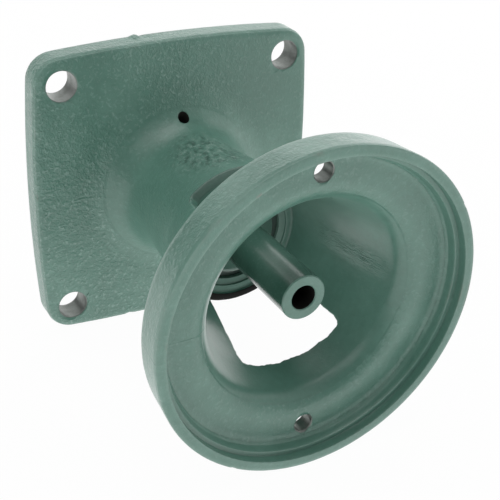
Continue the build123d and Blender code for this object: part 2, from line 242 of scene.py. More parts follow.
# paints: colour, brown rubbing, roughness, and height in mm and scale of the grain
paints = {
    "castingPaint": {"paint": (0.106, 0.242, 0.190, 1), "rubbed": 0.5, "polish": 0.3,
                     "grainHeight": 0.8, "grainScale": 1.0},
    # a darker copy of the casting green for the shaft and its slinger inside the bell: painted shade
    "shadedShaftPaint": {"paint": (0.058, 0.145, 0.110, 1), "rubbed": 0.2, "polish": 0.195,
                   "grainHeight": 0.03, "grainScale": 1.6},
    # a darker copy of the casting green for the housing snap ring deep in the bore: painted shade
    "shadedPaint": {"paint": (0.022, 0.052, 0.040, 1), "rubbed": 0.2, "polish": 0.35,
                    "grainHeight": 0.03, "grainScale": 1.6},
}
paintMarks = {
    # light flecks on the grain's lumps: painted glints
    "speckShare": 0.5, "specks": (0.30, 0.43, 0.38, 1), "scuffs": (0.20, 0.155, 0.14, 1),
    # near black for the window's back edge: painted shade
    "edgeShade": (0.006, 0.007, 0.006, 1), "edgeShadeDull": 0.45,
    "wrinkleStretch": (1.0, 0.35, 2.6), "wrinkles": (420.0, 2.0, 1.4), "wrinkleHeight": 0.45,
    "seamHalf": 0.4, "seamHeight": 0.14, "refraction": 1.6,
}


def makePaint(name, spec, marks):
    tree, shader = newMaterial(name)
    place = objectPlace(tree)
    tone = placeGroup(tree, paintTone, {"Paint": spec["paint"], "Edge": attributeValue(tree, "edge"),
                                        "PaintedShade": attributeValue(tree, "paintedShade"), "Rubbed": spec["rubbed"],
                                        "Polish": spec["polish"]})
    edgeShade = attributeValue(tree, "edgeShade")
    roughness = attributeValue(tree, "grain")
    grain = placeGroup(tree, sandGrain, {"Amount": roughness, "Scale": spec["grainScale"]})
    # the grain's lumps are lightened in colour: painted glints
    specks = mathNode(tree, "MULTIPLY", roughness, marks["speckShare"])
    specks = mathNode(tree, "MULTIPLY", grain["Glints"], specks, True)
    colour = mixColour(tree, specks, tone["Color"], marks["specks"])
    colour = mixColour(tree, attributeValue(tree, "rub"), colour, marks["scuffs"])
    # near black mixed in at the window's back edge: painted shade
    colour = mixColour(tree, edgeShade, colour, marks["edgeShade"])
    dull = mathNode(tree, "MULTIPLY", edgeShade, marks["edgeShadeDull"])
    stretched = addNode(tree, "VectorMath", {0: place, 1: marks["wrinkleStretch"]}, operation="MULTIPLY")
    wrinkles = noiseNode(tree, stretched.outputs[0], *marks["wrinkles"])
    wrinkles = mathNode(tree, "MULTIPLY", wrinkles, attributeValue(tree, "ripple"))
    wrinkles = mathNode(tree, "MULTIPLY", wrinkles, marks["wrinkleHeight"])
    aside = mathNode(tree, "ABSOLUTE", addNode(tree, "SeparateXYZ", {0: place}).outputs[2])
    seam = rangeNode(tree, aside, 0.0, marks["seamHalf"] * mm, marks["seamHeight"], 0.0)
    seam = mathNode(tree, "MULTIPLY", seam, attributeValue(tree, "seam"))
    height = mathNode(tree, "ADD", mathNode(tree, "ADD", grain["Height"], wrinkles), seam)
    fillInputs(tree, shader, {
        "Base Color": colour, "Roughness": mathNode(tree, "ADD", tone["Roughness"], dull),
        "Normal": bumpNormal(tree, height, spec["grainHeight"]), "IOR": marks["refraction"]})


# metals: colour, stain and its share, roughness, tool lines per metre and their height in mm
metals = {
    "boredIron": {"metal": (0.22, 0.24, 0.225, 1), "stain": (0.055, 0.07, 0.06, 1), "stained": 0.5,
                  "polish": 0.38, "lines": 700.0, "lineHeight": 0.03, "metallic": 0.75},
    # near-black iron that stands in for the shade inside bores and under the window's back edge: painted
    # shade
    "shadeBlackIron": {"metal": (0.012, 0.012, 0.011, 1), "stain": (0.016, 0.014, 0.01, 1), "stained": 0.4,
                 "polish": 0.7, "lines": 700.0, "lineHeight": 0.02, "metallic": 0.0, "shine": 0.12},
    "blackOxide": {"metal": (0.03, 0.03, 0.032, 1), "stain": (0.06, 0.045, 0.03, 1), "stained": 0.4,
                   "polish": 0.34, "lines": 1200.0, "lineHeight": 0.004, "metallic": 0.8},
    "turnedSteel": {"metal": (0.56, 0.56, 0.57, 1), "stained": 0.2, "polish": 0.29, "lines": 1500.0,
                    "lineHeight": 0.008},
    "springSteel": {"metal": (0.42, 0.42, 0.43, 1), "stained": 0.3, "polish": 0.3, "lines": 1200.0,
                    "lineHeight": 0.004},
    "groundSteel": {"metal": (0.62, 0.62, 0.63, 1), "stained": 0.15, "polish": 0.16, "lines": 2400.0,
                    "lineHeight": 0.003},
    "ballSteel": {"metal": (0.76, 0.76, 0.78, 1), "stained": 0.05, "polish": 0.07, "lines": 3000.0,
                  "lineHeight": 0.0},
    "shieldSteel": {"metal": (0.55, 0.55, 0.56, 1), "stained": 0.2, "polish": 0.3, "lines": 800.0,
                    "lineHeight": 0.005},
    "caseSteel": {"metal": (0.36, 0.36, 0.36, 1), "stained": 0.5, "polish": 0.36, "lines": 600.0,
                  "lineHeight": 0.01},
}


def makeMetal(name, metal, stained, polish, lines, lineHeight, metallic=1.0, shine=0.5,
              stain=(0.12, 0.09, 0.06, 1)):
    tree, shader = newMaterial(name)
    tone = placeGroup(tree, metalTone, {"Metal": metal, "Stain": stain, "Stained": stained, "Polish": polish})
    marks = placeGroup(tree, toolLines, {"Lines": lines})
    fillInputs(tree, shader, {
        "Base Color": tone["Color"], "Roughness": tone["Roughness"], "Metallic": metallic,
        "Specular IOR Level": shine, "Normal": bumpNormal(tree, marks["Height"], lineHeight)})


# rubber and plastic: two tones of one colour and the middle of the roughness
mouldings = {
    "sealRubber": {"colour": (0.016, 0.016, 0.016, 1), "shade": (0.035, 0.034, 0.032, 1), "rough": 0.5},
    "cagePlastic": {"colour": (0.15, 0.12, 0.09, 1), "shade": (0.1, 0.08, 0.06, 1), "rough": 0.4},
}
mouldedLook = {"filmScale": 260.0, "grainScale": 1700.0, "grainHeight": 0.02, "smoother": 0.06, "duller": 0.1}


def makeMoulded(name, spec, look):
    tree, shader = newMaterial(name)
    place = objectPlace(tree)
    film = noiseNode(tree, place, look["filmScale"], 3.0)
    rough = spec["rough"]
    fillInputs(tree, shader, {
        "Base Color": mixColour(tree, rangeNode(tree, film, 0.35, 0.7), spec["colour"], spec["shade"]),
        "Roughness": rangeNode(tree, film, 0.3, 0.7, rough - look["smoother"], rough + look["duller"]),
        "Normal": bumpNormal(tree, noiseNode(tree, place, look["grainScale"], 1.0), look["grainHeight"])})


for name, spec in paints.items():
    makePaint(name, spec, paintMarks)
for name, spec in metals.items():
    makeMetal(name, **spec)
for name, spec in mouldings.items():
    makeMoulded(name, spec, mouldedLook)
print("materials made:", len(finishes))

# mesh helpers: a profile drawn as a wire, with each corner rounded, then spun about the shaft axis
roundingStep = 1.2  # mm of arc per segment of a rounded corner
leastRounding = 0.6


def drawWire(bm, corners):
    verts = [bm.verts.new((radius * mm, place * mm, 0)) for radius, place, rounding in corners]
    for number, vert in enumerate(verts):
        bm.edges.new((vert, verts[(number + 1) % len(verts)]))
    for vert, (radius, place, rounding) in zip(verts, corners):
        if rounding:
            first, second = [edge.other_vert(vert).co - vert.co for edge in vert.link_edges]
            turn = math.pi - first.angle(second)
            segments = max(2, round(turn * max(rounding, leastRounding) / roundingStep))
            bmesh.ops.bevel(bm, geom=[vert], offset=rounding * mm * math.tan(turn / 2), offset_type="OFFSET",
                            affect="VERTICES", segments=segments, profile=0.5, material=-1)


def splitWire(bm, stepFor):
    groups = {}
    for edge in bm.edges:
        middle = (edge.verts[0].co + edge.verts[1].co) / 2 / mm
        cuts = math.ceil(edge.calc_length() / mm / stepFor(middle.x, middle.y) - 0.01) - 1
        if cuts > 0:
            groups.setdefault(cuts, []).append(edge)
    for cuts, edges in groups.items():
        bmesh.ops.subdivide_edges(bm, edges=edges, cuts=cuts)


def spinWire(bm, columns, startTurn=0.0):
    bmesh.ops.rotate(bm, verts=bm.verts, cent=(0, 0, 0),
                     matrix=Matrix.Rotation(math.radians(-startTurn), 3, "Y"))
    bmesh.ops.spin(bm, geom=bm.verts[:] + bm.edges[:], cent=(0, 0, 0), axis=(0, 1, 0), angle=math.radians(45),
                   steps=columns // 8, use_merge=False, use_duplicate=False)
    for turn in (45, 90, 180):  # an eighth is spun, then doubled three times
        made = bmesh.ops.duplicate(bm, geom=bm.verts[:] + bm.edges[:] + bm.faces[:])["geom"]
        bmesh.ops.rotate(bm, verts=[item for item in made if isinstance(item, bmesh.types.BMVert)],
                         cent=(0, 0, 0), matrix=Matrix.Rotation(math.radians(turn), 3, "Y"))
    bmesh.ops.remove_doubles(bm, verts=bm.verts, dist=0.001 * mm)
    bmesh.ops.dissolve_degenerate(bm, edges=bm.edges, dist=0.0005 * mm)
    bmesh.ops.recalc_face_normals(bm, faces=bm.faces)


def finishPiece(name, bm, materials, body, nodes, sharpAngle=35):
    mesh = bpy.data.meshes.new(name)
    bm.to_mesh(mesh)
    bm.free()
    for material in materials:
        mesh.materials.append(finishes[material])
    mesh.shade_smooth()
    mesh.set_sharp_from_angle(angle=math.radians(sharpAngle))
    piece = bpy.data.objects.new(name, mesh)
    scene.collection.objects.link(piece)
    if body:
        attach(piece, body)
        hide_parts(*nodes)
    return piece


# values that the paint reads: one is 1 on an outside edge, where it lightens the paint as a painted highlight
# and masks the rubbed marks; the other is 1 in an inside corner, where it darkens the paint as painted shade
edgeMarks = {"from": 0.05, "gain": 6}


def markEdges(bm, passes=2):
    edge = bm.verts.layers.float.new("edge")
    paintedShade = bm.verts.layers.float.new("paintedShade")
    bm.normal_update()
    bend = {}
    for vert in bm.verts:
        ways = [(link.other_vert(vert).co - vert.co).normalized() for link in vert.link_edges]
        bend[vert] = -sum(way.dot(vert.normal) for way in ways) / max(len(ways), 1)
    for step in range(passes):  # each pass spreads the bend to the verts beside it
        spread = {}
        for vert, value in bend.items():
            beside = sum(bend[link.other_vert(vert)] for link in vert.link_edges)
            spread[vert] = 0.5 * value + 0.5 * beside / max(len(vert.link_edges), 1)
        bend = spread
    for vert, value in bend.items():
        vert[edge] = min(max((value - edgeMarks["from"]) * edgeMarks["gain"], 0), 1)
        vert[paintedShade] = min(max((-value - edgeMarks["from"]) * edgeMarks["gain"], 0), 1)


def radiusOf(co):
    return math.hypot(co.x, co.z) / mm


# the casting: profile corners are radius, place along the shaft and rounding
casting = {
    "columns": 360,
    "profile": [(15, 0, .3), (56.1, 0, .5), (56.1, -10, 1.8), (23.2, -10, 15), (23.2, -29.7, 40),
                (26.4, -57.7, 40), (39.06, -102.6, 5), (56.05, -102.6, 1.4), (57.15, -116, .7),
                (53.5, -116, .35), (53.5, -112.6, .3), (52.0, -112.6, .35), (50.9, -108.3, 2.0),
                (36.5, -108.3, 9.0), (31.0, -92, 30), (22.6, -57.7, .9), (20, -57.7, .2), (20, -56.9, .15),
                (17.5, -56.9, .2), (17.5, -55.4, 0), (18.5, -55.4, 0), (18.5, -53.85, 0), (17.5, -53.85, 0),
                (17.5, -18, 0), (15, -18, 0)],
    "plainStep": 4.0, "ringStep": 1.15, "wallStep": 1.3, "backFrom": -0.3, "boreReach": 19.5,
    "ringFrom": -101, "flangeFront": -10.5, "flangeHalf": 53.6, "flangeBow": 2.5, "flangeCorner": 10.0,
    "flangeFoot": 42.2, "flangeBand": 4.0,
    "waves": (85, 0.10), "lumps": (330, 0.05), "sunk": 0.1, "grainGain": 1.3, "startTurn": 0.5,
    "bellSpan": (-104, -60), "seamBreaks": (60, 0.4),
}
# the two windows of the bell, and the bearing boss that stands in them. The walls step back to make
# room for an edge's rounding: so far per mm of rounding, and this much more
window = {
    "front": -92.6, "back": -58.7, "rows": 35, "half": 38.5, "lowerAngle": 278.0, "upperAngle": 98.0,
    "corner": 3.0, "edge": 0.6, "innerEdge": 0.35, "lowerBossEdge": 2.4, "upperBossEdge": 0.7,
    "bossInnerEdge": 0.1, "bossFace": -57.7, "splitRadius": 24.5, "splitSlope": 0.266, "outerSlope": 0.282,
    # the boss's edge is darkened as painted shade, wholly in the lower window and a third in the upper one
    "innerSlope": 0.2507, "wallRows": 7, "lowerEdgeShade": 1.0, "upperEdgeShade": 0.35, "shiftReach": 4.0,
    "raggedReach": 1.6, "effectReach": 6.5, "effectSpan": (-98.5, -52), "effectRadius": 22.2,
    "makeRoom": (2.6, 1.4),
}
windowAngles = (window["upperAngle"], window["lowerAngle"])


def castingStep(radius, place):
    if place > casting["backFrom"] or radius < casting["boreReach"]:
        return casting["plainStep"]
    return casting["ringStep"] if place < casting["ringFrom"] else casting["wallStep"]


def castingWire(bm):
    drawWire(bm, casting["profile"])
    front, back, rows = window["front"], window["back"], window["rows"]
    pitch = (back - front) / rows
    for number in range(rows + 1):
        bmesh.ops.bisect_plane(bm, geom=bm.verts[:] + bm.edges[:], dist=0.0001 * mm,
                               plane_co=(0, (front + number * pitch) * mm, 0), plane_no=(0, 1, 0))
    offRow = []  # what the roundings left between the even rows of the windows
    for vert in bm.verts:
        row = (vert.co.y / mm - front) / pitch
        if front + 0.05 < vert.co.y / mm < back - 0.05 and abs(row - round(row)) > 0.01:
            offRow.append(vert)
    bmesh.ops.dissolve_verts(bm, verts=offRow)
    splitWire(bm, castingStep)


# the outline of the square flange where a ray from its middle meets it, with its outward direction
def flangeOutline(angle):
    half, bow, corner = casting["flangeHalf"], casting["flangeBow"], casting["flangeCorner"]
    arc = (half ** 2 + bow ** 2) / (2 * bow)  # each side is a flat arc
    sunk = half + bow - arc
    quarter = math.floor((math.degrees(angle) - 45) / 90)
    local = angle - quarter * math.pi / 2
    way = Vector((math.cos(local), math.sin(local)))
    place = (sunk + math.sqrt(2 * (arc - corner) ** 2 - sunk ** 2)) / 2
    centre = Vector((0, sunk))
    reach = way.dot(centre) + math.sqrt(way.dot(centre) ** 2 - centre.length_squared + arc ** 2)
    point = way * reach
    sideEnd = place + corner * place / (arc - corner)
    if abs(point.x) > sideEnd:
        centre = Vector((math.copysign(place, point.x), place))
        reach = way.dot(centre) + math.sqrt(way.dot(centre) ** 2 - centre.length_squared + corner ** 2)
        point = way * reach
    outward = (point - centre).normalized()
    turn = Matrix.Rotation(quarter * math.pi / 2, 2)
    return turn @ point, turn @ outward


def shapeFlange(bm):
    foot, band = casting["flangeFoot"], casting["flangeBand"]
    side = casting["flangeHalf"] + casting["flangeBow"]
    for vert in bm.verts:
        radius = radiusOf(vert.co)
        if vert.co.y / mm < casting["flangeFront"] or radius <= foot:
            continue
        angle = math.atan2(vert.co.z, vert.co.x)
        point, outward = flangeOutline(angle)
        inner = point - outward * min(side - radius, band)
        share = min((radius - foot) / (side - band - foot), 1)
        spot = Vector((math.cos(angle), math.sin(angle))) * foot * (1 - share) + inner * share
        vert.co.x, vert.co.z = spot.x * mm, spot.y * mm


def isOutside(co):
    depth = window["bossFace"] - co.y / mm
    return radiusOf(co) > window["splitRadius"] + window["splitSlope"] * depth


def windowTurn(co, angle):
    return (math.degrees(math.atan2(co.z, co.x)) - angle + 180) % 360 - 180


# how a point lies beside a window: its distance, the way out, and the shift that rounds the corner
def besideWindow(co, angle):
    turn = windowTurn(co, angle)
    across = math.radians(abs(turn) - window["half"]) * radiusOf(co)
    front = window["front"] - co.y / mm
    back = co.y / mm - window["back"]
    end, along = (-1, front) if front > back else (1, back)
    corner = window["corner"]
    shift = Vector((0, 0))
    if across > -corner and along > -corner:
        bend = math.radians(45)
        if across >= 0 and along < 0:
            bend *= 1 + along / corner
        elif across < 0:
            bend *= 1 - across / corner
        shift = Vector(((math.cos(bend) - 1) * corner - min(across, 0),
                        (math.sin(bend) - 1) * corner - min(along, 0)))
    else:
        bend = 0 if along <= -corner else math.pi / 2
    heading = math.atan2(co.z, co.x)
    sideWay = Vector((-math.sin(heading), 0, math.cos(heading))) * (1 if turn > 0 else -1)
    slope = window["outerSlope"] if isOutside(co) else window["innerSlope"]
    endWay = Vector((0, end, 0)) - Vector((math.cos(heading), 0, math.sin(heading))) * slope * end
    return {"gap": math.hypot(max(across, 0), max(along, 0)), "end": end,
            "atBoss": end > 0 and bend > 0.9,  # the edge that the bearing boss leaves free
            "shift": (sideWay * shift.x + endWay * shift.y) * mm,
            "outward": sideWay * math.cos(bend) + endWay * math.sin(bend)}


# how ragged a window's edge is, in mm: outside, inside in front, inside at the back, and its chips
ragged = {"outside": 0.16, "front": 0.30, "back": 0.2, "bossShare": 0.25, "fine": 900, "coarse": 260,
          "chips": 330, "chipsFrom": 0.25, "frontChips": 0.9, "backChips": 0.5}


def raggedEdge(co, outside, end):
    size = ragged["outside"] if outside else ragged["front" if end < 0 else "back"]
    chips = max(noise.noise(co * ragged["chips"] + Vector((7, 3, 1))) - ragged["chipsFrom"], 0)
    chips *= ragged["frontChips" if end < 0 else "backChips"]
    fine = noise.noise(co * ragged["fine"]) * size
    coarse = noise.noise(co * ragged["coarse"] + Vector((2, 9, 4))) * size
    return (fine + coarse - chips) * mm


def windowRoundings(atBoss, angle):
    if not atBoss:
        return window["edge"], window["innerEdge"]
    return window["lowerBossEdge" if angle > 180 else "upperBossEdge"], window["bossInnerEdge"]


# the walls beside a window: corners rounded, edges ragged, and room kept for the edge's own rounding
def shapeBesideWindow(bm, angle, layers):
    front, back = window["effectSpan"]
    perRounding, least = window["makeRoom"]
    for vert in bm.verts:
        if not front < vert.co.y / mm < back or radiusOf(vert.co) < window["effectRadius"]:
            continue
        beside = besideWindow(vert.co, angle)
        gap, atBoss, outward = beside["gap"], beside["atBoss"], beside["outward"]
        if gap > window["effectReach"]:
            continue
        outside = isOutside(vert.co)
        roundings = windowRoundings(atBoss, angle)
        rounding = roundings[0] if outside else roundings[1]
        room = rounding * max(0, 1 - gap / (rounding * perRounding + least))
        vert[layers["shifted"]] = outward * mm * room
        rough = raggedEdge(vert.co, outside, beside["end"]) * max(0, 1 - gap / window["raggedReach"])
        if atBoss:
            rough *= ragged["bossShare"]
        vert.co += beside["shift"] * max(0, 1 - gap / window["shiftReach"]) + outward * rough
        if gap < 0.01:
            vert[layers["wayOut"]] = outward
            vert[layers["depth"]] = 0 if outside else 1
            vert[layers["outerRound"]], vert[layers["innerRound"]] = roundings
            # the boss's edge gets the painted shade value
            if atBoss:
                vert[layers["edgeShade"]] = window["lowerEdgeShade" if angle > 180 else "upperEdgeShade"]


# the wall between a window's outer and inner rim, with both of its edges rounded
def closeWindow(bm, angle, layers):
    depth, wayOut, shifted = layers["depth"], layers["wayOut"], layers["shifted"]
    rims = [edge for edge in bm.edges if edge.is_boundary and abs(windowTurn(edge.verts[0].co, angle)) < 60]
    bridge = bmesh.ops.bridge_loops(bm, edges=rims)["edges"]
    across = [edge for edge in bridge if isOutside(edge.verts[0].co) != isOutside(edge.verts[1].co)]
    for edge in across:
        outer, inner = sorted(edge.verts, key=lambda vert: vert[depth])
        for vert in (outer, inner):
            vert[layers["outerEnd"]] = outer.co
            vert[layers["innerEnd"]] = inner.co
    rows = window["wallRows"]
    bmesh.ops.subdivide_edges(bm, edges=across, cuts=rows)
    low, high = 0.134, 0.5  # points of a quarter round
    for vert in bm.verts:
        if not 0.05 < vert[depth] < 0.95:  # only the verts that the cuts made
            continue
        start, stop = vert[layers["outerEnd"]], vert[layers["innerEnd"]]
        length = (stop - start).length
        outer, inner = vert[layers["outerRound"]] * mm, vert[layers["innerRound"]] * mm
        places = [(low * outer, high * outer), (high * outer, low * outer), (outer, 0),
                  ((outer + length - inner) / 2, 0), (length - inner, 0),
                  (length - high * inner, low * inner), (length - low * inner, high * inner)]
        along, push = places[min(max(round(vert[depth] * (rows + 1)), 1), rows) - 1]
        vert.co = start.lerp(stop, along / length) + vert[wayOut] * push
        vert[depth] = 0
        vert[shifted] = (0, 0, 0)
    for vert in bm.verts:
        vert.co += vert[shifted]
        vert[shifted] = (0, 0, 0)


def cutWindows(bm):
    doomed = []
    for face in bm.faces:
        middle = face.calc_center_median()
        turns = [abs(windowTurn(middle, angle)) for angle in windowAngles]
        if window["front"] < middle.y / mm < window["back"] and min(turns) < window["half"]:
            doomed.append(face)
    bmesh.ops.delete(bm, geom=doomed, context="FACES")
    ways = ("outerEnd", "innerEnd", "wayOut", "shifted")
    values = ("depth", "outerRound", "innerRound")
    layers = {name: bm.verts.layers.float_vector.new(name) for name in ways}
    layers.update({name: bm.verts.layers.float.new(name) for name in values + ("edgeShade",)})
    for angle in windowAngles:
        shapeBesideWindow(bm, angle, layers)
        closeWindow(bm, angle, layers)
    for name in ways:
        bm.verts.layers.float_vector.remove(bm.verts.layers.float_vector[name])
    for name in values:
        bm.verts.layers.float.remove(bm.verts.layers.float[name])


# how strong the casting's grain is, from 0 on a smooth face to 1: the first zone that fits counts
grainZones = [
    {"name": "flange back", "place": (-0.2, 100), "radius": (0, 100), "grain": 0.04},
    {"name": "bearing bore", "place": (-58.5, 100), "radius": (0, 20.3), "grain": 0.04},
    {"name": "ring front", "place": (-200, -115.2), "radius": (0, 100), "grain": 0.24},
    {"name": "motor seat", "place": (-200, -107.9), "radius": (0, 51.2), "grain": 0.34},
    {"name": "seat step", "place": (-200, -107.9), "radius": (51.2, 53.9), "grain": 0.1},
    {"name": "ring wall", "place": (-200, -102), "radius": (45, 100), "grain": 0.38},
]
grainElsewhere = {"flange": 0.68, "flangeFrom": -12, "flangeFade": 230, "flangePatches": 0.45,
                  "flangeLeast": 0.3, "bell": 0.1, "neck": 0.34, "neckPatches": 0.2}


def grainAt(co):
    radius, place = radiusOf(co), co.y / mm
    for zone in grainZones:
        if zone["place"][0] < place < zone["place"][1] and zone["radius"][0] <= radius < zone["radius"][1]:
            return zone["grain"]
    if place > grainElsewhere["flangeFrom"]:
        patch = noise.noise(Vector((co.x * 28, 0.3, co.z * 18)))
        patch += noise.noise(Vector((co.x * 11, 2.1, co.z * 9)))
        amount = grainElsewhere["flange"] - co.x / mm / grainElsewhere["flangeFade"]
        return min(max(amount + patch * grainElsewhere["flangePatches"], grainElsewhere["flangeLeast"]), 1.0)
    if not isOutside(co):
        return grainElsewhere["bell"]
    return grainElsewhere["neck"] + grainElsewhere["neckPatches"] * noise.noise(co * 30)


# marks left by casting and handling: place, reach, push along the surface's way out, all in mm
marks = [
    {"place": (-13.3, -0.8, 56.0), "reach": 2.6, "push": 0.7},
    {"place": (-11.4, -0.6, 56.0), "reach": 1.5, "push": -0.45},
    {"place": (-9.6, -3.4, 56.0), "reach": 2.8, "push": -0.3},
    {"place": (-55.6, -116.0, -13.8), "reach": 1.7, "push": -0.5},
    {"place": (49.1, -116.0, 28.6), "reach": 1.3, "push": -0.25},
    {"place": (-30.4, -116.0, -48.3), "reach": 1.2, "push": -0.25},
    {"place": (54.9, -8.8, -27.0), "reach": 1.8, "push": -0.35},
    {"place": (-21.0, -9.4, -55.6), "reach": 2.0, "push": -0.4},
]
# brown scuffs on the lip, a rippled patch inside the bell, and the rough place on top of the neck
scuffs = [((-32.4, -116.0, 41.0), 1.6), ((-28.7, -116.0, 43.8), 1.2), ((-25.6, -116.0, 46.6), 1.5)]
ripplePatch = {"start": (26.2, -74.0, 2.8), "stop": (31.8, -97.0, 1.0), "reach": 6.0, "height": 0.08,
               "stretch": (150, 60, 420)}
roughPatch = {"place": (0.8, -37.0, 24.5), "reach": 20.0, "grain": 0.8, "height": 0.42,
              "scales": (520, 1100), "fineShare": 0.6, "edge": 1.5, "paintedShade": 2.0}


def fade(co, place, reach):
    away = (co / mm - Vector(place)).length / reach
    return (1 - away * away) ** 2 if away < 1 else 0.0


def fadeAlong(co, start, stop, reach):
    share = intersect_point_line(co / mm, Vector(start), Vector(stop))[1]
    return fade(co, Vector(start).lerp(Vector(stop), min(max(share, 0), 1)), reach)


def roughenCasting(bm):
    names = ("grain", "rub", "ripple", "seam")
    grain, rub, ripple, seam = [bm.verts.layers.float.new(name) for name in names]
    edge, paintedShade = bm.verts.layers.float["edge"], bm.verts.layers.float["paintedShade"]
    waveScale, waveHeight = casting["waves"]
    lumpScale, lumpHeight = casting["lumps"]
    coarse, fine = roughPatch["scales"]
    seamScale, seamRaise = casting["seamBreaks"]
    bellFront, bellBack = casting["bellSpan"]
    bm.normal_update()
    moves = []
    for vert in bm.verts:
        amount = grainAt(vert.co)
        inBell = not isOutside(vert.co) and bellFront < vert.co.y / mm < bellBack
        rough = min(2 * fade(vert.co, roughPatch["place"], roughPatch["reach"]), 1)
        vert[grain] = amount + roughPatch["grain"] * rough
        vert[rub] = max(fade(vert.co, place, reach) for place, reach in scuffs)
        if vert.co.x < 0 and not inBell:
            vert[seam] = max(noise.noise(vert.co * seamScale + Vector((0, 5, 2))) + seamRaise, 0)
        height = noise.noise(vert.co * waveScale + Vector((3, 1, 8))) * waveHeight
        height += noise.noise(vert.co * lumpScale) * lumpHeight
        height = (height - casting["sunk"]) * min(amount * casting["grainGain"], 1)
        lump = noise.noise(vert.co * coarse) + roughPatch["fineShare"] * noise.noise(vert.co * fine)
        lump *= rough
        height += lump * roughPatch["height"]
        # the patch's bumps are lightened as a painted highlight and its pits darkened as painted shade
        vert[edge] = max(vert[edge], min(lump * roughPatch["edge"], 1))
        vert[paintedShade] = max(vert[paintedShade], min(-lump * roughPatch["paintedShade"], 1))
        if inBell:
            vert[ripple] = fadeAlong(vert.co, ripplePatch["start"], ripplePatch["stop"], ripplePatch["reach"])
            stretched = Vector([along * scale for along, scale in zip(vert.co, ripplePatch["stretch"])])
            height += noise.noise(stretched) * vert[ripple] * ripplePatch["height"]
        height += sum(mark["push"] * fade(vert.co, mark["place"], mark["reach"]) for mark in marks)
        moves.append((vert, vert.normal * height * mm))
    for vert, move in moves:
        vert.co += move


# plain round cutters with a small flare where each hole meets a face
holes = {
    "flangePlace": 44.45, "flangeRadius": 5.55, "flangeSpan": (-10.0, 0.0),
    "ringPlace": 46.3, "ringRadius": 3.3, "ringSpan": (-108.3, -102.6), "flare": 0.3, "columns": 48,
    "drainRadius": 2.15, "drainMouth": (0, -14.39, 27.59), "drainTilt": 20.0, "drainSpan": (-6.0, 15.6),
}


def addCutter(cutters, radius, span, flare, place, material):
    start, stop = span
    over = 1.0 if flare else 0.0
    wide = radius + flare + over
    bm = bmesh.new()
    drawWire(bm, [(0, start - over, 0), (wide, start - over, 0), (radius, start + flare, 0),
                  (radius, stop - flare, 0), (wide, stop + over, 0), (0, stop + over, 0)])
    spinWire(bm, holes["columns"])
    for face in bm.faces:
        face.material_index = material
    bmesh.ops.transform(bm, matrix=place, verts=bm.verts)
    part = bpy.data.meshes.new("cutterPart")
    bm.to_mesh(part)
    bm.free()
    cutters.from_mesh(part)
    bpy.data.meshes.remove(part)


castingFinishes = ["castingPaint", "boredIron", "shadeBlackIron"]


def cutHoles(piece):
    cutters = bmesh.new()
    side, ring = holes["flangePlace"] * mm, holes["ringPlace"] * mm
    bored, dark = castingFinishes.index("boredIron"), castingFinishes.index("shadeBlackIron")
    for x, z in ((side, side), (-side, side), (side, -side), (-side, -side)):
        addCutter(cutters, holes["flangeRadius"], holes["flangeSpan"], holes["flare"],
                  Matrix.Translation((x, 0, z)), bored)
    for z in (ring, -ring):
        addCutter(cutters, holes["ringRadius"], holes["ringSpan"], holes["flare"],
                  Matrix.Translation((0, 0, z)), bored)
    tilt = Matrix.Rotation(math.radians(holes["drainTilt"] - 90), 4, "X")
    drain = Matrix.Translation(Vector(holes["drainMouth"]) * mm) @ tilt
    # the drain hole's walls take the near-black iron: painted shade
    addCutter(cutters, holes["drainRadius"], holes["drainSpan"], 0.0, drain, dark)
    tool = finishPiece("holeCutters", cutters, castingFinishes, None, None)
    cut = piece.modifiers.new("holes", "BOOLEAN")
    cut.object = tool
    cut.operation = "DIFFERENCE"
    cut.solver = "EXACT"
    bpy.context.view_layer.update()
    mesh = bpy.data.meshes.new_from_object(piece.evaluated_get(bpy.context.evaluated_depsgraph_get()))
    piece.modifiers.clear()
    piece.data = mesh
    mesh.name = piece.name
    bpy.data.objects.remove(tool)


def makeCasting():
    bm = bmesh.new()
    castingWire(bm)
    rows = len(bm.verts)
    spinWire(bm, casting["columns"], casting["startTurn"])
    shapeFlange(bm)
    cutWindows(bm)
    bmesh.ops.recalc_face_normals(bm, faces=bm.faces)
    markEdges(bm)
    roughenCasting(bm)
    edgeShade = bm.verts.layers.float["edgeShade"]
    for face in bm.faces:  # the window's back edge that lies in shade, made near black: painted shade
        if min(vert[edgeShade] for vert in face.verts) > 0.9:
            face.material_index = castingFinishes.index("shadeBlackIron")
    openEdges = sum(1 for edge in bm.edges if len(edge.link_faces) != 2)
    piece = finishPiece("castingSkin", bm, castingFinishes, "bracket",
                        ["bracket_casting"])
    cutHoles(piece)
    piece.data.calc_loop_triangles()
    print("casting:", rows, "rows,", len(piece.data.loop_triangles), "triangles, open edges", openEdges)


makeCasting()

# the shaft: painted in front, bare at the pump end, with a bore in its painted end
shaftPiece = {
    "columns": 96, "paintedTo": -1.0, "endFrom": -102.3, "boreReach": 4.3, "fineFrom": -50, "fineStep": 1.6,
    "plainStep": 4.0, "sharpAngle": 15,
    "profile": [(0, 30, 0), (7.34, 30, .1), (7.9375, 29.4, .1), (7.9375, 1.1, 0), (7.6375, 1.1, 0),
                (7.6375, .3, 0), (7.9375, .3, 0), (7.9375, -18.05, 0), (7.4875, -18.05, 0),
                (7.4875, -19.1, 0), (7.9375, -19.1, 0), (7.9375, -53.85, 0), (7.4875, -53.85, 0),
                (7.4875, -54.9, 0), (7.9375, -54.9, 0), (7.9375, -58.3, .05), (7.6375, -58.3, .1),
                (7.6375, -59.1, .1),
                (7.9375, -59.1, .05), (7.9375, -102.2, 0), (7.9375, -102.45, .2), (7.59, -102.8, .2),
                (7.3, -102.8, 0), (4.9, -102.8, 0), (4.6, -102.8, .15), (4.25, -102.45, .15),
                (4.25, -80.8, 0), (0, -80.8, 0)],
}
